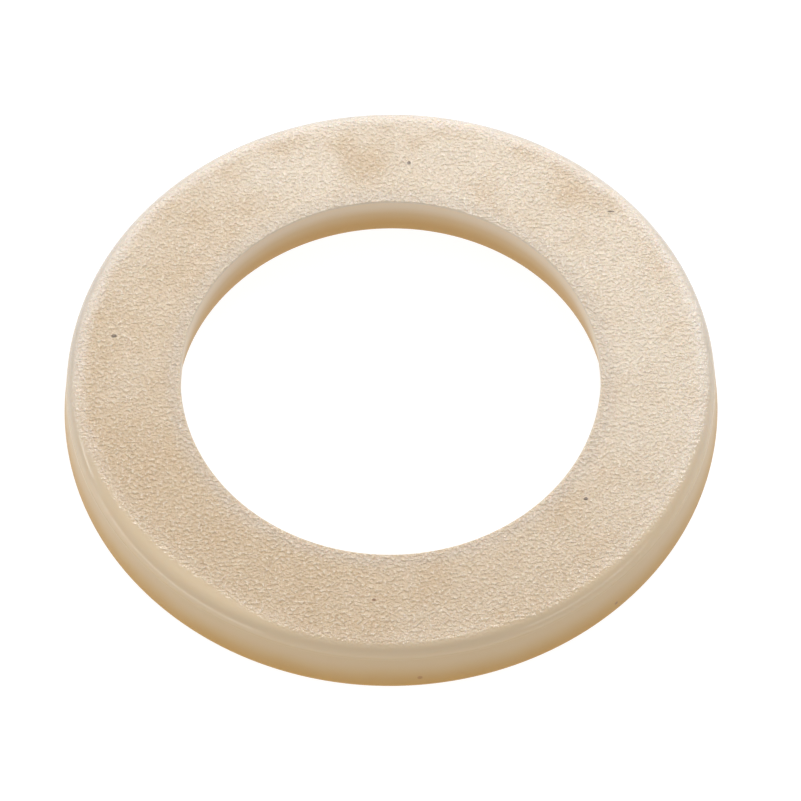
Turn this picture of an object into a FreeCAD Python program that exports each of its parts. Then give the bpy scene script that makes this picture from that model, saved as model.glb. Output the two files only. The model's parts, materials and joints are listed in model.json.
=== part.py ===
import FreeCAD, Part
import os
import Sketcher

# Flat washer of the small-diameter series for an M12 bolt, moulded in natural nylon.
#
# The washer is one solid ring.  Its frame has the origin on the bore axis in the plane of the
# lower face, with +Z up through the bore, and all sizes are in millimetres.
#
#   lower face   where the mould parts: the widest outline and the widest mouth of the bore
#   outer wall   drafted, so it leans in towards the upper face, and ends there in a soft round
#   bore         a straight land under the upper face, and below it the draft of the core pin
#
#   axis        upper face
#    |      D ------------- C           D-E  straight land of the bore
#    |      E                \          E-A  drafted wall of the bore
#    |       \                \         B-C  drafted outer wall
#    |        A -------------- B
#                lower face

# ---------------------------------------------------------------- driving dimensions
DRIVING_DIMENSIONS = {
    "thickness": 1.85,
    "bore_radius": 6.45,
    "outer_radius": 10.1,
    "bore_land": 0.5,
    "outer_draft": 5.0,
    "bore_draft": 8.0,
    "upper_round": 0.42,
    "bore_round": 0.05,
    "foot_round": 0.2,
}

SHEET_NAME = "Dims"
WASHER_NODE = "washer"
EDGE_MATCH = 1e-4
LEAST_SHARE_LEFT = 0.98


def make_sheet(doc):
    """Spreadsheet of the driving dimensions: names in column A, aliased numbers in column B."""
    sheet = doc.addObject("Spreadsheet::Sheet", SHEET_NAME)
    for row, (alias, value) in enumerate(DRIVING_DIMENSIONS.items(), start=1):
        sheet.set(f"A{row}", alias)
        sheet.set(f"B{row}", str(value))
        sheet.setAlias(f"B{row}", alias)
    doc.recompute()
    return sheet


def origin_plane(body, role):
    """The body's own origin plane with this role, such as XZ_Plane."""
    return next(plane for plane in body.Origin.OriginFeatures if plane.Role == role)


def draw_section(body):
    """Half section of the ring in the XZ plane: a five-sided outline, sized by the sheet."""
    sketch = body.newObject("Sketcher::SketchObject", "RingSection")
    sketch.AttachmentSupport = [(origin_plane(body, "XZ_Plane"), "")]
    sketch.MapMode = "FlatFace"

    # Rough corners in the order A, B, C, D, E; the constraints below give them their places.
    corners = [
        FreeCAD.Vector(7, 0, 0),
        FreeCAD.Vector(10, 0, 0),
        FreeCAD.Vector(9, 2, 0),
        FreeCAD.Vector(6, 2, 0),
        FreeCAD.Vector(6, 1, 0),
    ]
    lower, outer, upper, land, bore = (
        sketch.addGeometry(Part.LineSegment(start, end))
        for start, end in zip(corners, corners[1:] + corners[:1])
    )
    ring = [lower, outer, upper, land, bore]
    for line, following in zip(ring, ring[1:] + ring[:1]):
        sketch.addConstraint(Sketcher.Constraint("Coincident", line, 2, following, 1))
    sketch.addConstraint(Sketcher.Constraint("Horizontal", upper))
    sketch.addConstraint(Sketcher.Constraint("Vertical", land))
    sketch.addConstraint(Sketcher.Constraint("PointOnObject", lower, 1, -1))
    sketch.addConstraint(Sketcher.Constraint("PointOnObject", lower, 2, -1))

    # Each size is measured from the sketch's origin, which lies on the bore axis.  A wall's draft
    # moves it by the tangent of its angle for each millimetre of height.
    land_height = f"({SHEET_NAME}.thickness - {SHEET_NAME}.bore_land)"
    outer_lean = f"{SHEET_NAME}.thickness * tan({SHEET_NAME}.outer_draft * 1deg)"
    bore_lean = f"{land_height} * tan({SHEET_NAME}.bore_draft * 1deg)"
    sizes = [
        ("lower_bore_radius", "DistanceX", lower, 1, f"{SHEET_NAME}.bore_radius + {bore_lean}"),
        ("lower_outer_radius", "DistanceX", lower, 2, f"{SHEET_NAME}.outer_radius"),
        ("upper_outer_radius", "DistanceX", upper, 1, f"{SHEET_NAME}.outer_radius - {outer_lean}"),
        ("upper_bore_radius", "DistanceX", land, 1, f"{SHEET_NAME}.bore_radius"),
        ("upper_height", "DistanceY", upper, 1, f"{SHEET_NAME}.thickness"),
        ("land_height", "DistanceY", land, 2, land_height),
    ]
    for name, kind, line, end, expression in sizes:
        index = sketch.addConstraint(Sketcher.Constraint(kind, -1, 1, line, end, 1.0))
        sketch.renameConstraint(index, name)
        sketch.setExpression(f"Constraints.{name}", expression)
    return sketch


def size_of(sketch, name):
    """Value of one of the sketch's named sizes, in millimetres."""
    return sketch.getDatum(name).Value


def revolve_section(body, sketch):
    """Turn the section through a full circle about the bore axis."""
    revolution = body.newObject("PartDesign::Revolution", "RingRevolution")
    revolution.Profile = sketch
    revolution.ReferenceAxis = (sketch, ["V_Axis"])
    revolution.Angle = 360.0
    sketch.Visibility = False
    return revolution


def circle_edges(feature, places):
    """Names of the feature's circular edges that lie at one of the (radius, height) places."""
    names = []
    for number, edge in enumerate(feature.Shape.Edges, start=1):
        if not isinstance(edge.Curve, Part.Circle):
            continue
        for radius, height in places:
            same_radius = abs(edge.Curve.Radius - radius) < EDGE_MATCH
            same_height = abs(edge.Curve.Center.z - height) < EDGE_MATCH
            if same_radius and same_height:
                names.append(f"Edge{number}")
    if len(names) != len(places):
        raise RuntimeError(f"{feature.Label}: expected {len(places)} edges, found {names}")
    return names


def round_edges(body, base, name, places, alias):
    """Fillet the circular edges at these places, with the radius that the sheet's alias gives."""
    fillet = body.newObject("PartDesign::Fillet", name)
    fillet.Base = (base, circle_edges(base, places))
    fillet.setExpression("Radius", f"{SHEET_NAME}.{alias}")
    body.Document.recompute()
    return fillet


def build_washer(doc):
    """The whole washer: a revolved ring with its upper, bore and foot edges rounded."""
    body = doc.addObject("PartDesign::Body", "Washer")
    body.Label = WASHER_NODE
    sketch = draw_section(body)
    revolution = revolve_section(body, sketch)
    doc.recompute()

    top = size_of(sketch, "upper_height")
    upper_edges = [(size_of(sketch, "upper_outer_radius"), top)]
    bore_edges = [(size_of(sketch, "upper_bore_radius"), top)]
    foot_edges = [
        (size_of(sketch, "lower_outer_radius"), 0.0),
        (size_of(sketch, "lower_bore_radius"), 0.0),
    ]
    upper_round = round_edges(body, revolution, "UpperRound", upper_edges, "upper_round")
    bore_round = round_edges(body, upper_round, "BoreRound", bore_edges, "bore_round")
    body.Tip = round_edges(body, bore_round, "FootRound", foot_edges, "foot_round")
    body.Placement = FreeCAD.Placement()
    return body


def check_document(doc, bodies):
    """Stop if an object failed to recompute or a sub-part has no valid solid."""
    for item in doc.Objects:
        if "Invalid" in item.State or "Error" in item.State:
            raise RuntimeError(f"{item.Label}: {item.State}")
    for body in bodies:
        if body.Shape.isNull() or not body.Shape.isValid():
            raise RuntimeError(f"{body.Label}: no valid shape")


def check_volume(body):
    """Stop unless the rounds took a little material, and only a little, off the sharp-edged ring."""
    sharp_ring = body.Document.getObject("RingRevolution").Shape.Volume
    share_left = body.Shape.Volume / sharp_ring
    if not LEAST_SHARE_LEFT < share_left < 1.0:
        raise RuntimeError(f"{body.Label}: {share_left:.3f} of the sharp ring's volume is left")


def main():
    doc = FreeCAD.newDocument("FlatWasher")
    make_sheet(doc)
    washer = build_washer(doc)
    doc.recompute()
    check_document(doc, [washer])
    check_volume(washer)

    os.makedirs("parts", exist_ok=True)
    washer.Shape.exportStep(f"parts/{washer.Label}.step")
    print(f"{washer.Label}: {len(washer.Shape.Solids)} solid, {washer.Shape.Volume:.2f} mm3")


main()
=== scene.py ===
"""Flat washer in natural nylon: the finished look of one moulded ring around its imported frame.

The ring is one piece.  Its half section is an outline of straight stretches and arcs, which is
carried round the bore axis, and the grain that the mould leaves on the flat faces is raised on it.
All lengths are in metres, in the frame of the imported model: the bore axis is Z, and the lower face
lies at Z = 0.
"""
import json
import logging
import math
from dataclasses import dataclass, field
from enum import Enum
from typing import Any, Iterable, Mapping, Sequence, Union

import bpy
import numpy as np
from mathutils import Matrix, Vector


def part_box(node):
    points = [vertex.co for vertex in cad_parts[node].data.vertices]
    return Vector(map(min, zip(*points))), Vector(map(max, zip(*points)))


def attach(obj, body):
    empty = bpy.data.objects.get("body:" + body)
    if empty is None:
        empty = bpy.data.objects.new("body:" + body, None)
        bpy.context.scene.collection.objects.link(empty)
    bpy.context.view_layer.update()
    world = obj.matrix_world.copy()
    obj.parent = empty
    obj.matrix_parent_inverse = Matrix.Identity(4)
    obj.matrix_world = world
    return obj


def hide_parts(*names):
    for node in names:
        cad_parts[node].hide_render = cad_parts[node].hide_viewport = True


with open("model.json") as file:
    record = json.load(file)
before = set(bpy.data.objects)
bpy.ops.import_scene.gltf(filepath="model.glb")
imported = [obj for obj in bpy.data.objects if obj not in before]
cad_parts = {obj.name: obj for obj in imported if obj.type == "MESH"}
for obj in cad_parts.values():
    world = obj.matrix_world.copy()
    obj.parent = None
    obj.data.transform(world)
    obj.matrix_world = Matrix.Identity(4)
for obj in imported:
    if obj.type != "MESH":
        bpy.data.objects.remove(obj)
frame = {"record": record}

MM = 0.001
LOG = logging.getLogger("washer")
WASHER_NODE = "washer"

Colour = tuple[float, float, float]
Place = tuple[float, float, float]
# Where a smooth step starts and where it ends; the start may be the higher of the two.
Span = tuple[float, float]


# ------------------------------------------------------------------------------- shader maths
class Blend(Enum):
    """How a second colour is laid over a first."""

    MIX = "MIX"
    MULTIPLY = "MULTIPLY"


class Wire:
    """A shader socket that can stand in a Python expression; each operator adds one Math node."""

    def __init__(self, bench: "NodeBench", socket: bpy.types.NodeSocket) -> None:
        """Wrap a socket.

        Args:
            bench: the bench that the socket's node stands on.
            socket: the output socket to read.
        """
        self.bench = bench
        self.socket = socket

    def __add__(self, other: "Term") -> "Wire":
        """Sum."""
        return self.bench.maths("ADD", self, other)

    __radd__ = __add__

    def __sub__(self, other: "Term") -> "Wire":
        """Difference."""
        return self.bench.maths("SUBTRACT", self, other)

    def __rsub__(self, other: "Term") -> "Wire":
        """Difference with the wire on the right."""
        return self.bench.maths("SUBTRACT", other, self)

    def __mul__(self, other: "Term") -> "Wire":
        """Product."""
        return self.bench.maths("MULTIPLY", self, other)

    __rmul__ = __mul__

    def __truediv__(self, other: "Term") -> "Wire":
        """Quotient."""
        return self.bench.maths("DIVIDE", self, other)

    def root(self) -> "Wire":
        """Square root."""
        return self.bench.maths("SQRT", self)

    def rise(self, start: float, end: float) -> "Wire":
        """A smooth step from 0 at the start to 1 at the end.

        Args:
            start: the value up to which the step is 0.
            end: the value from which it is 1.

        Returns:
            The step as a wire between 0 and 1.
        """
        low, high = min(start, end), max(start, end)
        shares = (0.0, 1.0) if start < end else (1.0, 0.0)
        limits = {"From Min": low, "From Max": high, "To Min": shares[0], "To Max": shares[1]}
        settings = {"interpolation_type": "SMOOTHSTEP"}
        step = self.bench.node("ShaderNodeMapRange", settings, {"Value": self, **limits})
        return self.bench.wire(step, "Result")


Term = Union[Wire, float]
Feed = Union[Wire, float, Sequence[float]]


class NodeBench:
    """The node tree of one material, with one method for every node that it makes."""

    def __init__(self, name: str) -> None:
        """Start an empty material.

        Args:
            name: the material's name.
        """
        self.material = bpy.data.materials.new(name)
        self.material.use_nodes = True
        self.tree = self.material.node_tree
        self.tree.nodes.clear()

    def node(
        self, kind: str, settings: Mapping[str, Any], inputs: Mapping[Union[str, int], Feed]
    ) -> bpy.types.Node:
        """Add a node, set it up, and then fill its sockets.

        Args:
            kind: the node's type.
            settings: the node's own properties.
            inputs: socket names or numbers with a wire or a value for each.

        Returns:
            The new node.
        """
        made = self.tree.nodes.new(kind)
        for key, value in settings.items():
            setattr(made, key, value)
        for key, value in inputs.items():
            socket = made.inputs[key]
            if isinstance(value, Wire):
                self.tree.links.new(value.socket, socket)
            else:
                socket.default_value = value
        return made

    def wire(self, node: bpy.types.Node, output: Union[str, int] = 0) -> Wire:
        """One of a node's outputs as a wire."""
        return Wire(self, node.outputs[output])

    def maths(self, operation: str, *terms: Term) -> Wire:
        """A Math node on numbers and wires."""
        return self.wire(self.node("ShaderNodeMath", {"operation": operation}, dict(enumerate(terms))))

    def mix(self, share: Term, under: Feed, over: Feed, blend: Blend = Blend.MIX) -> Wire:
        """Lay one colour over another.

        Args:
            share: how much of the upper colour shows, from 0 to 1.
            under: the lower colour.
            over: the upper colour.
            blend: how the upper colour is laid on.

        Returns:
            The mixed colour.
        """
        under, over = (c if isinstance(c, Wire) else (*c, 1.0) for c in (under, over))
        settings = {"data_type": "RGBA", "blend_type": blend.value, "clamp_factor": True}
        mixed = self.node("ShaderNodeMix", settings, {"Factor": share})
        for name, feed in (("A_Color", under), ("B_Color", over)):
            socket = next(s for s in mixed.inputs if s.identifier == name)
            if isinstance(feed, Wire):
                self.tree.links.new(feed.socket, socket)
            else:
                socket.default_value = feed
        return Wire(self, next(s for s in mixed.outputs if s.identifier == "Result_Color"))

    def noise(self, place: Wire, size: float, detail: float = 2.0) -> Wire:
        """Soft noise between 0 and 1.

        Args:
            place: the coordinates that the noise follows.
            size: the width of one blotch, in metres.
            detail: how many finer layers are added, each half as strong as the one before.

        Returns:
            The noise as a wire.
        """
        inputs = {"Vector": place, "Scale": 1.0 / size, "Detail": detail, "Roughness": 0.5}
        return self.wire(self.node("ShaderNodeTexNoise", {"noise_dimensions": "3D"}, inputs))

    def vector_maths(self, operation: str, *terms: Feed) -> bpy.types.Node:
        """A Vector Math node, which has its result at "Vector", or a length at "Value"."""
        return self.node("ShaderNodeVectorMath", {"operation": operation}, dict(enumerate(terms)))

    def shifted(self, place: Wire, offset: Place) -> Wire:
        """The same coordinates moved by an offset, so that two noises don't fall together."""
        return self.wire(self.vector_maths("ADD", place, offset), "Vector")

    def finish(self, shader: bpy.types.Node) -> bpy.types.Material:
        """Lead a shader to the material's output.

        Args:
            shader: the shader's node.

        Returns:
            The finished material.
        """
        output = self.node("ShaderNodeOutputMaterial", {}, {})
        self.tree.links.new(shader.outputs[0], output.inputs["Surface"])
        return self.material


# ------------------------------------------------------------------------------- the ring's shape
class Stretch(Enum):
    """The stretches of the half section, in the order in which the outline runs."""

    LOWER_FACE = "lower face"
    OUTER_WALL = "outer wall"
    UPPER_FACE = "upper face"
    BORE_LAND = "bore land"
    BORE_WALL = "bore wall"


@dataclass(frozen=True)
class Corner:
    """A corner of the half section, where two stretches meet.

    Attributes:
        radius: distance from the bore axis.
        height: height above the lower face.
        rounding: radius of the arc that rounds the corner, or 0 where it stays sharp.
        leads_to: the stretch that runs on from this corner.
    """

    radius: float
    height: float
    rounding: float
    leads_to: Stretch


@dataclass(frozen=True)
class RingSection:
    """Half section of the washer, as its frame gives it.

    Attributes:
        outer_radius: radius of the foot of the outer wall.
        bore_radius: radius of the bore's straight land.
        thickness: height of the upper face above the lower one.
        land: height of the bore's straight land, under the upper face.
        outer_draft: lean of the outer wall, in radians.
        bore_draft: lean of the lower bore wall, in radians.
        upper_round: rounding of the outer wall's upper edge.
        bore_round: rounding of the bore's upper edge.
        foot_round: rounding of both lower edges.
    """

    outer_radius: float
    bore_radius: float
    thickness: float
    land: float = 0.5 * MM
    outer_draft: float = math.radians(5.0)
    bore_draft: float = math.radians(8.0)
    upper_round: float = 0.42 * MM
    bore_round: float = 0.05 * MM
    foot_round: float = 0.2 * MM

    @classmethod
    def from_frame(cls, record: Mapping[str, Any]) -> "RingSection":
        """Read the ring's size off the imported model.

        Args:
            record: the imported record, whose bore mount gives the bore's radius.

        Returns:
            The section at the frame's own size.
        """
        low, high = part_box(WASHER_NODE)
        bore = next(m for m in record["mounts"] if m["name"] == "bore")
        # The foot's round takes this much off the widest radius of the sharp outline.
        half_turn = (math.pi / 2 + cls.outer_draft) / 2
        rounded_away = cls.foot_round * (math.tan(half_turn) - 1.0)
        outer_radius = (high[1] - low[1]) / 2 + rounded_away
        return cls(outer_radius, bore["dims"]["r_mm"] * MM, high[2] - low[2])

    @property
    def upper_outer_radius(self) -> float:
        """Radius at which the outer wall would meet the upper face."""
        return self.outer_radius - self.thickness * math.tan(self.outer_draft)

    @property
    def lower_bore_radius(self) -> float:
        """Radius at which the bore wall would meet the lower face."""
        return self.bore_radius + (self.thickness - self.land) * math.tan(self.bore_draft)

    @property
    def face_limit(self) -> float:
        """Radius at which the flat upper face gives way to the round."""
        turn = math.pi / 2 - self.outer_draft
        return self.upper_outer_radius - self.upper_round * math.tan(turn / 2)

    def corners(self) -> list[Corner]:
        """The section's corners.

        Returns:
            The corners from the bore's foot outwards, up, inwards and down again.
        """
        return [
            Corner(self.lower_bore_radius, 0.0, self.foot_round, Stretch.LOWER_FACE),
            Corner(self.outer_radius, 0.0, self.foot_round, Stretch.OUTER_WALL),
            Corner(self.upper_outer_radius, self.thickness, self.upper_round, Stretch.UPPER_FACE),
            Corner(self.bore_radius, self.thickness, self.bore_round, Stretch.BORE_LAND),
            Corner(self.bore_radius, self.thickness - self.land, 0.0, Stretch.BORE_WALL),
        ]

    def outline(self, rows: Mapping[Stretch, int], arc_rows: int) -> np.ndarray:
        """Points along the closed outline.

        A rounded corner is an arc that touches both of its sides: it starts at the rounding times
        the tangent of half the turn before the corner and ends as far behind it.  A straight
        stretch is divided evenly between the arcs at its ends.

        Args:
            rows: how many steps each stretch has.
            arc_rows: how many steps the arc at a rounded corner has.

        Returns:
            An array of rows (radius, height), with the solid on the left of the way.
        """
        corners = self.corners()
        arcs = [
            self._arc(corners[i - 1], corners[i], corners[(i + 1) % len(corners)], arc_rows)
            for i in range(len(corners))
        ]
        points = []
        for i, corner in enumerate(corners):
            start, end = arcs[i][-1], arcs[(i + 1) % len(corners)][0]
            share = np.linspace(0.0, 1.0, rows[corner.leads_to] + 1)[1:-1, None]
            points += [arcs[i], start + (end - start) * share]
        return np.concatenate(points)

    @staticmethod
    def _arc(before: Corner, corner: Corner, after: Corner, steps: int) -> np.ndarray:
        """Points of the arc that rounds a corner.

        A point at the angle a lies at the arc's centre, plus the first spoke times cosine a, plus
        the spoke a quarter turn on times sine a.

        Args:
            before: the corner before it.
            corner: the corner.
            after: the corner after it.
            steps: how many steps the arc has.

        Returns:
            The arc's points, or the corner alone where it is sharp.
        """
        here = np.array([corner.radius, corner.height])
        if corner.rounding == 0.0:
            return here[None, :]
        way_in = here - (before.radius, before.height)
        way_out = np.array([after.radius, after.height]) - here
        way_in, way_out = way_in / np.linalg.norm(way_in), way_out / np.linalg.norm(way_out)
        turn = math.acos(float(way_in @ way_out))
        start = here - way_in * corner.rounding * math.tan(turn / 2)
        centre = start + corner.rounding * np.array([-way_in[1], way_in[0]])
        angle = np.linspace(0.0, turn, steps + 1)[:, None]
        spoke = start - centre
        side = np.array([-spoke[1], spoke[0]])
        return centre + spoke * np.cos(angle) + side * np.sin(angle)


@dataclass(frozen=True)
class WaveField:
    """A random surface made of many flat waves.

    The height at a place is the sum of cosines of equal strength.  Each runs in its own direction,
    with its own start and a length drawn from a narrow range, so the surface has one typical
    grain size and no direction of its own.

    Attributes:
        shortest: shortest wave.
        longest: longest wave.
        depth: root mean square height.
        waves: how many waves are added.
        seed: seed of the random draw.
    """

    shortest: float
    longest: float
    depth: float
    waves: int
    seed: int

    def height(self, x: np.ndarray, y: np.ndarray) -> np.ndarray:
        """Heights at the places (x, y).

        Args:
            x: the places' X.
            y: the places' Y, in the same shape.

        Returns:
            The heights, in the same shape.
        """
        draw = np.random.default_rng(self.seed)
        heading = draw.uniform(0.0, 2.0 * np.pi, self.waves)
        start = draw.uniform(0.0, 2.0 * np.pi, self.waves)
        length = draw.uniform(self.shortest, self.longest, self.waves)
        turns_x = np.cos(heading) * 2.0 * np.pi / length
        turns_y = np.sin(heading) * 2.0 * np.pi / length
        total = np.zeros_like(x)
        for wave in range(self.waves):
            total += np.cos(x * turns_x[wave] + y * turns_y[wave] + start[wave])
        return total * self.depth * math.sqrt(2.0 / self.waves)


# ------------------------------------------------------------------------------- finishes
@dataclass(frozen=True)
class Spot:
    """A point of the ring's surface, as the wires that its finish reads.

    Attributes:
        bench: the bench that the material stands on.
        section: the ring's half section.
        place: the point's coordinates.
        x: how far to the right of the bore axis it lies.
        y: how far behind the bore axis it lies.
        height: its height above the lower face.
        radius: its distance from the bore axis.
        level: its height as a share of the thickness.
        from_top: its height above the upper face, so it is below zero under that face.
        from_bore: its distance out from the bore's straight land.
        from_round: its distance out from the circle where the flat upper face ends.
    """

    bench: NodeBench
    section: RingSection
    place: Wire
    x: Wire
    y: Wire
    height: Wire
    radius: Wire
    level: Wire
    from_top: Wire
    from_bore: Wire
    from_round: Wire

    @classmethod
    def on(cls, bench: NodeBench, section: RingSection) -> "Spot":
        """Set up the wires on a material.

        Args:
            bench: the bench that the material stands on.
            section: the ring's half section, from whose faces and walls the distances are taken.

        Returns:
            The wires.
        """
        place = bench.wire(bench.node("ShaderNodeTexCoord", {}, {}), "Object")
        split = bench.node("ShaderNodeSeparateXYZ", {}, {0: place})
        x, y, height = (bench.wire(split, axis) for axis in "XYZ")
        radius = (x * x + y * y).root()
        return cls(
            bench,
            section,
            place,
            x,
            y,
            height,
            radius,
            level=height / section.thickness,
            from_top=height - section.thickness,
            from_bore=radius - section.bore_radius,
            from_round=radius - section.face_limit,
        )


@dataclass(frozen=True)
class Mark:
    """A speck or a short scratch on the surface: an egg of dark colour that the surface cuts.

    Attributes:
        place: its middle, in millimetres.
        size: its half width, in millimetres.
        stretch: how much longer than wide it is, along X.
        colour: its colour.
        strength: how much of the colour shows at its middle.
        edge: shares of its half width over which it comes up from nothing.
    """

    place: Place
    size: float
    stretch: float = 1.0
    colour: Colour = (0.10, 0.07, 0.05)
    strength: float = 0.8
    edge: Span = (1.2, 0.6)

    def lay_over(self, under: Wire, spot: Spot) -> Wire:
        """Lay the mark over a colour.

        Args:
            under: the colour beneath.
            spot: the surface.

        Returns:
            The colour with the mark on it.
        """
        bench = spot.bench
        middle = tuple(value * MM for value in self.place)
        across = 1.0 / (self.size * MM)
        off = bench.wire(bench.vector_maths("SUBTRACT", spot.place, middle), "Vector")
        scale = (across / self.stretch, across, across)
        egg = bench.wire(bench.vector_maths("MULTIPLY", off, scale), "Vector")
        away = bench.wire(bench.vector_maths("LENGTH", egg), "Value")
        return bench.mix(away.rise(*self.edge) * self.strength, under, self.colour)


@dataclass(frozen=True)
class GrainBorder:
    """Where the mould's grain ends on the two faces.

    Attributes:
        wander_size: width of the border's slow waves.
        wander_depth: how far the waves can carry it.
        drawn_in: scale of how far the border draws in at the two near diagonals.
        right_share: the least part of that scale, which holds at the right diagonal.
        near: places along Y over which the near half begins.
        left: places along X over which the left half begins.
        spread: how far the border lies out towards the round.
        back_spread: how much further out it lies at the back.
        top: heights above the upper face over which the grain comes up.
        foot: heights above the lower face over which the grain there comes up.
        edge: distances past the border over which the grain comes up.
        bore: distances from the bore over which the grain comes up.
    """

    wander_size: float = 2.5 * MM
    wander_depth: float = 0.3 * MM
    drawn_in: float = 1.3 * MM
    right_share: float = 0.2
    near: Span = (1.0 * MM, -4.0 * MM)
    left: Span = (6.0 * MM, -6.0 * MM)
    spread: float = 0.1 * MM
    back_spread: float = 0.1 * MM
    top: Span = (-0.2 * MM, -0.08 * MM)
    foot: Span = (0.04 * MM, 0.01 * MM)
    edge: Span = (0.2 * MM, -0.2 * MM)
    bore: Span = (0.005 * MM, 0.035 * MM)

    def passed(self, spot: Spot, back: Wire) -> Wire:
        """How far out past the grain's border a point lies.

        The border wanders a little.  On the near half it draws in at the two diagonals, in the
        measure of c (1 - c), where c is the square of the cosine of the turn round the bore axis.

        Args:
            spot: the surface.
            back: 0 at the front of the ring and 1 at its back.

        Returns:
            The distance, which is below zero inside the border.
        """
        wander = (spot.bench.noise(spot.place, self.wander_size) - 0.5) * self.wander_depth
        cosine_squared = spot.x * spot.x / (spot.radius * spot.radius)
        diagonal = cosine_squared * (1.0 - cosine_squared) * spot.y.rise(*self.near)
        drawn_in = diagonal * (self.right_share + spot.x.rise(*self.left)) * self.drawn_in
        return spot.from_round + wander + drawn_in - self.spread - back * self.back_spread

    def share(self, spot: Spot, passed: Wire) -> Wire:
        """Share of the grain at a point.

        Args:
            spot: the surface.
            passed: how far out past the border the point lies.

        Returns:
            The share, 1 on the flat faces and 0 on the walls.
        """
        on_faces = spot.from_top.rise(*self.top) + spot.height.rise(*self.foot)
        return on_faces * passed.rise(*self.edge) * spot.from_bore.rise(*self.bore)


@dataclass(frozen=True)
class FaceTones:
    """Colours of the grained faces.

    Attributes:
        cream: the face at its darker side, away from the painted sheen.
        pale: the face at its paler side, a painted sheen of the back light; the random clouds reach it
            too.
        tan: the soft darker clouds.
        border_highlight: the outer border of the face, a painted highlight.
        bore_edge: the border of the face at the bore.
        crest: the crests of the grain, lighter as painted glints.
        pit: a tint that darkens the pits of the grain as painted shade.
        sheen_way: the direction in which the painted sheen pales the face, as its parts along X and Y.
        sheen_span: distances in that direction over which the painted sheen comes up.
        cloud: width of the pale clouds.
        cloud_strength: how far the clouds shift the paling.
        tan_cloud: width of the tan clouds.
        tan_shift: where the tan clouds' noise starts, so that they don't fall on the pale ones.
        tan_span: values of that noise over which the tan comes up.
        tan_share: how much tan shows in the middle of a cloud.
        border_highlight_span: distances past the grain's border over which the painted highlight comes
            up.
        border_highlight_front: how much of it shows at the front.
        border_highlight_back: how much more of it shows at the back.
        bore_span: distances from the bore over which the bore edge's colour comes up.
        bore_share: how much of it shows.
        crest_span: heights of the grain over which the crests begin.
        crest_share: how much of the painted glints on the crests shows.
        pit_span: heights of the grain over which the pits begin.
        pit_share: how much of the painted shade in the pits shows.
    """

    cream: Colour = (0.645, 0.488, 0.322)
    pale: Colour = (0.76, 0.645, 0.51)
    tan: Colour = (0.62, 0.45, 0.28)
    border_highlight: Colour = (0.82, 0.745, 0.665)
    bore_edge: Colour = (0.62, 0.53, 0.43)
    crest: Colour = (0.92, 0.83, 0.70)
    pit: Colour = (0.72, 0.64, 0.55)
    sheen_way: tuple[float, float] = (0.6, 0.8)
    sheen_span: Span = (-9.0 * MM, 9.0 * MM)
    cloud: float = 3.0 * MM
    cloud_strength: float = 1.2
    tan_cloud: float = 2.1 * MM
    tan_shift: Place = (0.05, 0.02, 0.0)
    tan_span: Span = (0.48, 0.74)
    tan_share: float = 0.6
    border_highlight_span: Span = (-0.5 * MM, -0.1 * MM)
    border_highlight_front: float = 0.1
    border_highlight_back: float = 0.5
    bore_span: Span = (0.7 * MM, 0.1 * MM)
    bore_share: float = 0.65
    crest_span: Span = (0.54, 0.70)
    crest_share: float = 0.45
    pit_span: Span = (0.48, 0.34)
    pit_share: float = 0.12

    def colour(self, spot: Spot, passed: Wire, back: Wire, grain: Wire) -> Wire:
        """Cream with a painted sheen that pales it towards one side, with clouds, a painted highlight on
        its borders, and painted glints and shade on the grain.

        Args:
            spot: the surface.
            passed: how far out past the grain's border a point lies.
            back: 0 at the front of the ring and 1 at its back.
            grain: height of the grain, from 0 in a pit to 1 on a crest.

        Returns:
            The colour.
        """
        bench = spot.bench
        # Painted sheen: the face is paler towards the back and right, where the back light falls.
        side = (spot.x * self.sheen_way[0] + spot.y * self.sheen_way[1]).rise(*self.sheen_span)
        cloud = (bench.noise(spot.place, self.cloud) - 0.5) * self.cloud_strength
        tan = bench.noise(bench.shifted(spot.place, self.tan_shift), self.tan_cloud).rise(*self.tan_span)
        # Painted highlight along the outer border of the face, strongest at the back.
        border_highlight = passed.rise(*self.border_highlight_span) * (self.border_highlight_front + back * self.border_highlight_back)
        colour = bench.mix(side + cloud, self.cream, self.pale)
        colour = bench.mix(tan * self.tan_share, colour, self.tan)
        colour = bench.mix(border_highlight, colour, self.border_highlight)
        colour = bench.mix(spot.from_bore.rise(*self.bore_span) * self.bore_share, colour, self.bore_edge)
        # Painted glints on the crests of the grain.
        colour = bench.mix(grain.rise(*self.crest_span) * self.crest_share, colour, self.crest)
        # Painted shade in the pits of the grain.
        return bench.mix(grain.rise(*self.pit_span) * self.pit_share, colour, self.pit, Blend.MULTIPLY)


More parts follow.
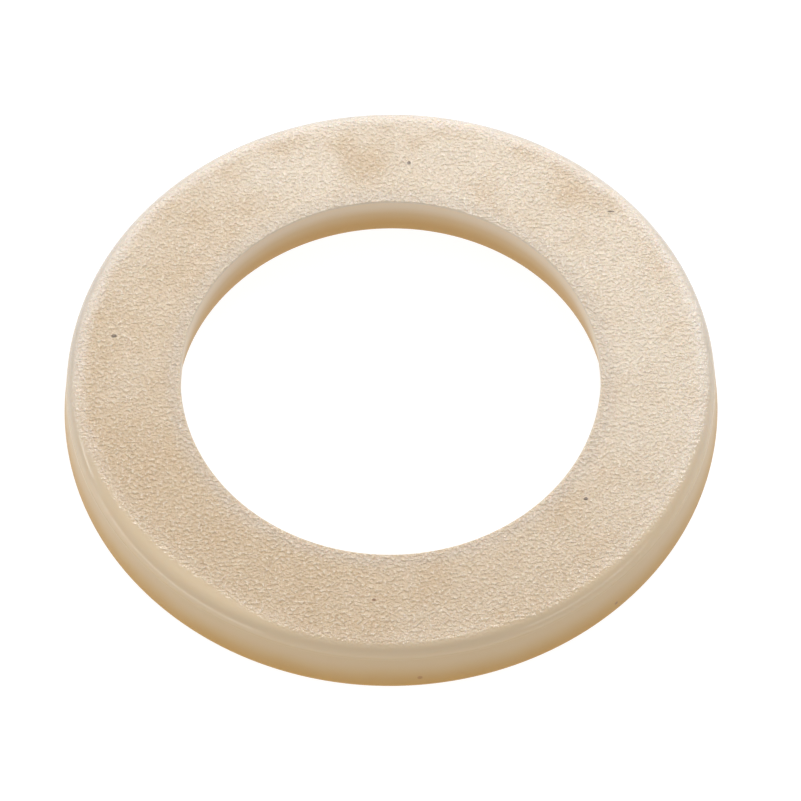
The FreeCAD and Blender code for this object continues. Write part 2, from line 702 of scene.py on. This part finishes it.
@dataclass(frozen=True)
class WallTones:
    """Colours of the two walls and the rounds over them.

    Attributes:
        wall: the middle of both walls, darker than the faces as painted shade.
        foot_shade: painted shade at the foot of both walls, tinted a deep orange-brown as painted light
            scattered through the nylon.
        shoulder: the round over the outer wall, at the front, lighter as painted light.
        rim: the same round at the back, greyer as a painted reflection.
        lip: the top of the bore wall.
        bore_round: the small round between the bore and the face.
        wander_size: width of the slow waves of the painted foot shade's upper border.
        wander_depth: how far the waves can carry it.
        bore_span: distances from the bore over which its wall begins.
        bore_lift: how much higher the painted foot shade reaches in the bore.
        foot_shade_span: levels over which the painted foot shade comes up.
        shoulder_span: levels over which the shoulder begins.
        lip_span: levels over which the lip comes up.
        round_span: heights above the upper face over which the bore's round begins.
    """

    wall: Colour = (0.548, 0.402, 0.23)
    foot_shade: Colour = (0.45, 0.24, 0.03)
    shoulder: Colour = (0.68, 0.54, 0.365)
    rim: Colour = (0.53, 0.47, 0.40)
    lip: Colour = (0.66, 0.53, 0.37)
    bore_round: Colour = (0.62, 0.53, 0.43)
    wander_size: float = 1.8 * MM
    wander_depth: float = 0.3 * MM
    bore_span: Span = (0.5 * MM, 0.2 * MM)
    bore_lift: float = 0.35 * MM
    foot_shade_span: Span = (0.75, 0.0)
    shoulder_span: Span = (0.76, 0.94)
    lip_span: Span = (0.6, 1.0)
    round_span: Span = (-0.1 * MM, -0.03 * MM)

    def colour(self, spot: Spot, back: Wire) -> Wire:
        """Tan that darkens to a deep orange-brown downwards as painted shade and pales upwards, with
        painted light and a painted reflection on the outer round and the bore's own tones inside it.

        Args:
            spot: the surface.
            back: 0 at the front of the ring and 1 at its back.

        Returns:
            The colour.
        """
        bench = spot.bench
        # Painted shade at the foot of the walls, tinted a deep orange-brown as painted light scattered
        # through the nylon; its upper border wanders and sits higher in the bore.
        wander = (bench.noise(spot.place, self.wander_size) - 0.5) * self.wander_depth
        in_bore = spot.from_bore.rise(*self.bore_span)
        lowered = spot.height + wander - in_bore * self.bore_lift
        foot_shade = (lowered / spot.section.thickness).rise(*self.foot_shade_span)
        # The walls' tan is darker than the faces' cream as painted shade.
        colour = bench.mix(foot_shade, self.wall, self.foot_shade)
        # The round over the outer wall: painted light at the front, a painted reflection at the back.
        top = bench.mix(back, self.shoulder, self.rim)
        colour = bench.mix(spot.level.rise(*self.shoulder_span), colour, top)
        colour = bench.mix(spot.level.rise(*self.lip_span) * in_bore, colour, self.lip)
        return bench.mix(spot.from_top.rise(*self.round_span) * in_bore, colour, self.bore_round)


@dataclass(frozen=True)
class Sheen:
    """How rough each part of the surface is.

    Attributes:
        face: roughness of the grained faces.
        wall: roughness of the walls.
        rounding: roughness of the round over the outer wall, which is the smoothest part.
        round_levels: levels over which that round begins.
        round_reach: distances out from the flat face's end over which it begins.
    """

    face: float = 0.28
    wall: float = 0.45
    rounding: float = 0.16
    round_levels: Span = (0.68, 0.9)
    round_reach: Span = (-1.0 * MM, -0.8 * MM)

    def roughness(self, spot: Spot, grained: Wire) -> Wire:
        """Roughness of a point.

        Args:
            spot: the surface.
            grained: share of the grain at the point.

        Returns:
            The roughness.
        """
        on_round = spot.level.rise(*self.round_levels) * spot.from_round.rise(*self.round_reach)
        smooth = self.wall + on_round * (self.rounding - self.wall)
        return smooth + grained * (self.face - smooth)


@dataclass(frozen=True)
class NaturalNylon:
    """Undyed nylon as it leaves the mould: cream, cloudy and satin, with painted sheen, highlights and
    glints on its faces and painted orange-brown shade at the foot of its walls.

    Attributes:
        faces: colours of the grained faces.
        walls: colours of the walls.
        border: where the grain ends.
        sheen: how rough each part is.
        marks: specks and scratches.
        back_span: places along Y over which the front of the ring gives way to its back.
        grain: width of one grain.
        grain_depth: height of the grain's bump from pit to crest.
        index: refractive index.
        scatter: how far light spreads under the surface.
        scatter_share: how much of the light does.
        scatter_tint: how far its red, green and blue spread, beside each other.
    """

    faces: FaceTones = FaceTones()
    walls: WallTones = WallTones()
    border: GrainBorder = GrainBorder()
    sheen: Sheen = Sheen()
    marks: tuple[Mark, ...] = (
        # Dark specks and a scratch on the upper face.
        Mark((0.65, 7.93, 1.85), 0.07),
        Mark((5.89, -4.55, 1.85), 0.07),
        Mark((-8.51, 1.58, 1.85), 0.07, 1.5),
        Mark((6.92, 6.0, 1.85), 0.035, 4.0),
        # A brown speck on the upper face, and a fleck and a speck on the outer wall.
        Mark((-0.58, -8.06, 1.85), 0.06, colour=(0.25, 0.12, 0.05)),
        Mark((0.78, -10.05, 0.53), 0.09, colour=(0.32, 0.14, 0.03)),
        Mark((6.78, -7.46, 0.48), 0.07, colour=(0.25, 0.12, 0.05)),
    )
    back_span: Span = (-6.0 * MM, 3.0 * MM)
    grain: float = 0.097 * MM
    grain_depth: float = 0.092 * MM
    index: float = 1.53
    scatter: float = 0.5 * MM
    scatter_share: float = 0.3
    scatter_tint: Colour = (1.0, 0.72, 0.42)

    def material(self, section: RingSection) -> bpy.types.Material:
        """Build the nylon's shader for a ring of this section.

        Args:
            section: the ring's half section, whose heights and radii bound the faces and walls.

        Returns:
            The finished material.
        """
        bench = NodeBench("natural_nylon")
        spot = Spot.on(bench, section)
        back = spot.y.rise(*self.back_span)
        passed = self.border.passed(spot, back)
        grained = self.border.share(spot, passed)
        grain = bench.noise(spot.place, self.grain, detail=1.0)
        colour = bench.mix(
            grained, self.walls.colour(spot, back), self.faces.colour(spot, passed, back, grain)
        )
        for mark in self.marks:
            colour = mark.lay_over(colour, spot)

        relief = (grain - 0.5) * grained * self.grain_depth
        bump = bench.node("ShaderNodeBump", {}, {"Strength": 1.0, "Distance": 1.0, "Height": relief})
        shader = bench.node(
            "ShaderNodeBsdfPrincipled",
            {},
            {
                "Base Color": colour,
                "Roughness": self.sheen.roughness(spot, grained),
                "Normal": bench.wire(bump),
                "IOR": self.index,
                "Subsurface Weight": self.scatter_share,
                "Subsurface Radius": self.scatter_tint,
                "Subsurface Scale": self.scatter,
            },
        )
        return bench.finish(shader)


@dataclass(frozen=True)
class LightTable:
    """The pale surface that the washer lies on, lit a little from within so that shadows stay faint.

    Attributes:
        colour: its colour.
        glow: its own brightness.
        roughness: its roughness.
        gloss: how strongly it mirrors, where 0.5 is usual.
    """

    colour: Colour = (0.2, 0.2, 0.2)
    glow: float = 0.92
    roughness: float = 0.6
    gloss: float = 0.1

    def material(self) -> bpy.types.Material:
        """Build the table's shader.

        Returns:
            The finished material.
        """
        bench = NodeBench("light_table")
        shader = bench.node(
            "ShaderNodeBsdfPrincipled",
            {},
            {
                "Base Color": (*self.colour, 1.0),
                "Roughness": self.roughness,
                "Specular IOR Level": self.gloss,
                "Emission Color": (1.0, 1.0, 1.0, 1.0),
                "Emission Strength": self.glow,
            },
        )
        return bench.finish(shader)


# ------------------------------------------------------------------------------- the washer
@dataclass
class Washer:
    """The washer: one moulded ring that stands for the frame's only node.

    Attributes:
        section: its half section.
        finish: its nylon.
        around: how many steps go round the bore axis.
        rows: how many steps cross each stretch of the section.
        arc_rows: how many steps cross each of its rounds.
        grain: the grain raised on the upper face.
        sink: the slow waves that cooling leaves in the upper face.
        lowered: how far both lie below the face on average, so that they seldom reach it.
        bore_margin: width of the flat border at the bore.
        fade: width over which the relief comes up inside its borders.
        top_margin: depth below the face within which a row of the section counts as on the face.
    """

    section: RingSection
    finish: NaturalNylon = field(default_factory=NaturalNylon)
    around: int = 1200
    rows: Mapping[Stretch, int] = field(
        default_factory=lambda: {
            Stretch.LOWER_FACE: 6,
            Stretch.OUTER_WALL: 4,
            Stretch.UPPER_FACE: 48,
            Stretch.BORE_LAND: 1,
            Stretch.BORE_WALL: 3,
        }
    )
    arc_rows: int = 5
    grain: WaveField = WaveField(0.18 * MM, 0.42 * MM, 0.003 * MM, 90, 11)
    sink: WaveField = WaveField(3.5 * MM, 9.0 * MM, 0.004 * MM, 12, 5)
    lowered: float = 0.009 * MM
    bore_margin: float = 0.1 * MM
    fade: float = 0.3 * MM
    top_margin: float = 0.01 * MM

    def build(self) -> bpy.types.Object:
        """Make the ring's mesh and dress it.

        Returns:
            The ring, riding on the root body in place of the frame's node.
        """
        vertices, faces = self._surface()
        mesh = bpy.data.meshes.new("moulded_ring")
        mesh.from_pydata(vertices, [], faces)
        mesh.polygons.foreach_set("use_smooth", np.ones(len(faces), bool))
        mesh.materials.append(self.finish.material(self.section))
        mesh.update()
        ring = bpy.data.objects.new("moulded_ring", mesh)
        bpy.context.scene.collection.objects.link(ring)
        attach(ring, "root")
        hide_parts(WASHER_NODE)
        return ring

    def _surface(self) -> tuple[np.ndarray, np.ndarray]:
        """The ring's surface on a closed grid.

        A point at the outline's (radius, height) and the turn t lies at radius times cosine t,
        radius times sine t and the height.  On the upper face the height grows by the relief.

        Returns:
            The vertices, row after row of the outline, and the quads between them.
        """
        outline = self.section.outline(self.rows, self.arc_rows)
        turn = np.arange(self.around) * 2.0 * np.pi / self.around
        radius, height = outline[:, :1], outline[:, 1:]
        x, y = radius * np.cos(turn), radius * np.sin(turn)
        z = height + self._relief(x, y, radius, height)
        vertices = np.stack([x, y, z], axis=-1).reshape(-1, 3)

        row, step = np.meshgrid(np.arange(len(outline)), np.arange(self.around), indexing="ij")
        next_row, next_step = (row + 1) % len(outline), (step + 1) % self.around
        here, beyond = row * self.around, next_row * self.around
        quads = [here + step, here + next_step, beyond + next_step, beyond + step]
        return vertices, np.stack(quads, axis=-1).reshape(-1, 4)

    def _relief(
        self, x: np.ndarray, y: np.ndarray, radius: np.ndarray, height: np.ndarray
    ) -> np.ndarray:
        """Relief of the upper face, which fades to nothing at its two edges and never stands proud.

        Args:
            x: X of each point.
            y: Y of each point.
            radius: radius of each row of points.
            height: height of each row of points.

        Returns:
            How far each point moves up, which is never above zero.
        """
        on_top = np.clip((height - self.section.thickness) / self.top_margin + 1.0, 0.0, 1.0)
        bore_border = self.section.bore_radius + self.bore_margin
        from_bore = np.clip((radius - bore_border) / self.fade, 0.0, 1.0)
        from_round = np.clip((self.section.face_limit - radius) / self.fade, 0.0, 1.0)
        relief = self.grain.height(x, y) + self.sink.height(x, y)
        return np.minimum(relief - self.lowered, 0.0) * on_top * from_bore * from_round


# ------------------------------------------------------------------------------- the studio
@dataclass(frozen=True)
class Softbox:
    """A rectangular soft light aimed at the washer.

    Attributes:
        name: the light's name.
        azimuth: direction of the light round Z, in degrees from +X.
        elevation: height of the light over the table, in degrees.
        distance: distance from the washer.
        width: length of its level side.
        height: length of its other side.
        radiance: its brightness, as the power of one square metre in watts.
        colour: its colour.
    """

    name: str
    azimuth: float
    elevation: float
    distance: float
    width: float
    height: float
    radiance: float
    colour: Colour = (1.0, 1.0, 1.0)

    def hang(self) -> bpy.types.Object:
        """Put the light in the scene, facing the washer.

        Returns:
            The light.
        """
        lamp = bpy.data.lights.new(self.name, "AREA")
        lamp.shape, lamp.size, lamp.size_y = "RECTANGLE", self.width, self.height
        lamp.energy, lamp.color = self.radiance * self.width * self.height, self.colour
        light = bpy.data.objects.new(self.name, lamp)
        azimuth, elevation = math.radians(self.azimuth), math.radians(self.elevation)
        flat = math.cos(elevation)
        way = Vector((flat * math.cos(azimuth), flat * math.sin(azimuth), math.sin(elevation)))
        turn = way.to_track_quat("Z", "Y").to_matrix().to_4x4()
        light.matrix_world = Matrix.Translation(way * self.distance) @ turn
        bpy.context.scene.collection.objects.link(light)
        return light


@dataclass(frozen=True)
class Studio:
    """A light table, soft lights and an even surrounding.

    Attributes:
        table: finish of the table.
        table_side: width of the table.
        surrounding: colour of the light from all sides.
        lights: the soft lights.
    """

    table: LightTable = LightTable()
    table_side: float = 1.2
    surrounding: Colour = (0.5, 0.5, 0.5)
    lights: tuple[Softbox, ...] = (
        Softbox("back_panel", 76.0, 38.0, 0.14, 0.17, 0.035, 26.0),
        Softbox("back_left_panel", 142.0, 34.0, 0.16, 0.12, 0.03, 14.0),
        Softbox("left_strip", 203.0, 10.0, 0.25, 0.28, 0.045, 10.0),
        Softbox("right_strip", 328.0, 26.0, 0.25, 0.18, 0.045, 8.0),
    )

    def build(self) -> None:
        """Make the table, the lights and the surrounding."""
        half = self.table_side / 2
        corners = [(-half, -half, 0.0), (half, -half, 0.0), (half, half, 0.0), (-half, half, 0.0)]
        mesh = bpy.data.meshes.new("light_table")
        mesh.from_pydata(corners, [], [(0, 1, 2, 3)])
        mesh.materials.append(self.table.material())
        table = bpy.data.objects.new("light_table", mesh)
        bpy.context.scene.collection.objects.link(table)
        for light in self.lights:
            light.hang()
        world = bpy.data.worlds.new("surrounding")
        world.use_nodes = True
        world.node_tree.nodes["Background"].inputs["Color"].default_value = (*self.surrounding, 1.0)
        bpy.context.scene.world = world
        bpy.context.scene.view_settings.view_transform = "Standard"


@dataclass(frozen=True)
class ProductCamera:
    """A long-lens camera that looks down on the washer from the front.

    Attributes:
        elevation: angle of the line of sight over the table, in degrees.
        distance: distance from the middle of the upper face.
        lens: focal length in millimetres, on a sensor of the width below.
        sensor: width of the sensor in millimetres.
        roll: turn about the line of sight, in degrees.
        pan: turn to the right, in degrees.
        tilt: turn upwards, in degrees.
        nearest: distance at which it begins to see.
        farthest: distance at which it stops.
    """

    elevation: float = 56.9
    distance: float = 0.2385
    lens: float = 349.1
    sensor: float = 36.0
    roll: float = -0.67
    pan: float = 0.0705
    tilt: float = -0.186
    nearest: float = 0.01
    farthest: float = 10.0

    def set_up(self, target_height: float) -> bpy.types.Object:
        """Make the camera and look through it.

        Args:
            target_height: height of the upper face, whose middle the camera is turned to.

        Returns:
            The camera.
        """
        elevation = math.radians(self.elevation)
        right = Vector((1.0, 0.0, 0.0))
        ahead = Vector((0.0, math.cos(elevation), -math.sin(elevation)))
        place = Vector((0.0, 0.0, target_height)) - ahead * self.distance
        up = right.cross(ahead)
        ahead, right = self._turned(ahead, right, self.pan)
        ahead, up = self._turned(ahead, up, self.tilt)
        right, up = self._turned(right, up, self.roll)

        lens = bpy.data.cameras.new("product_camera")
        lens.lens, lens.sensor_width = self.lens, self.sensor
        lens.clip_start, lens.clip_end = self.nearest, self.farthest
        camera = bpy.data.objects.new("product_camera", lens)
        turn = Matrix((right, up, -ahead)).transposed().to_4x4()
        camera.matrix_world = Matrix.Translation(place) @ turn
        bpy.context.scene.collection.objects.link(camera)
        bpy.context.scene.camera = camera
        return camera

    @staticmethod
    def _turned(first: Vector, second: Vector, degrees: float) -> tuple[Vector, Vector]:
        """Two directions square to each other, turned from the first towards the second.

        Args:
            first: the first direction.
            second: the second direction.
            degrees: the turn.

        Returns:
            Both directions after the turn.
        """
        cosine, sine = math.cos(math.radians(degrees)), math.sin(math.radians(degrees))
        return first * cosine + second * sine, second * cosine - first * sine


def main() -> None:
    """Build the washer and its studio."""
    logging.basicConfig(level=logging.INFO, format="%(name)s: %(message)s")
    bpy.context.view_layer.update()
    section = RingSection.from_frame(frame["record"])
    ring = Washer(section).build()
    across = ring.dimensions.x / MM
    LOG.info("%s: %d faces, %.2f mm across", ring.name, len(ring.data.polygons), across)
    Studio().build()
    ProductCamera().set_up(section.thickness)
    bpy.context.view_layer.update()


if __name__ == "__main__":
    main()
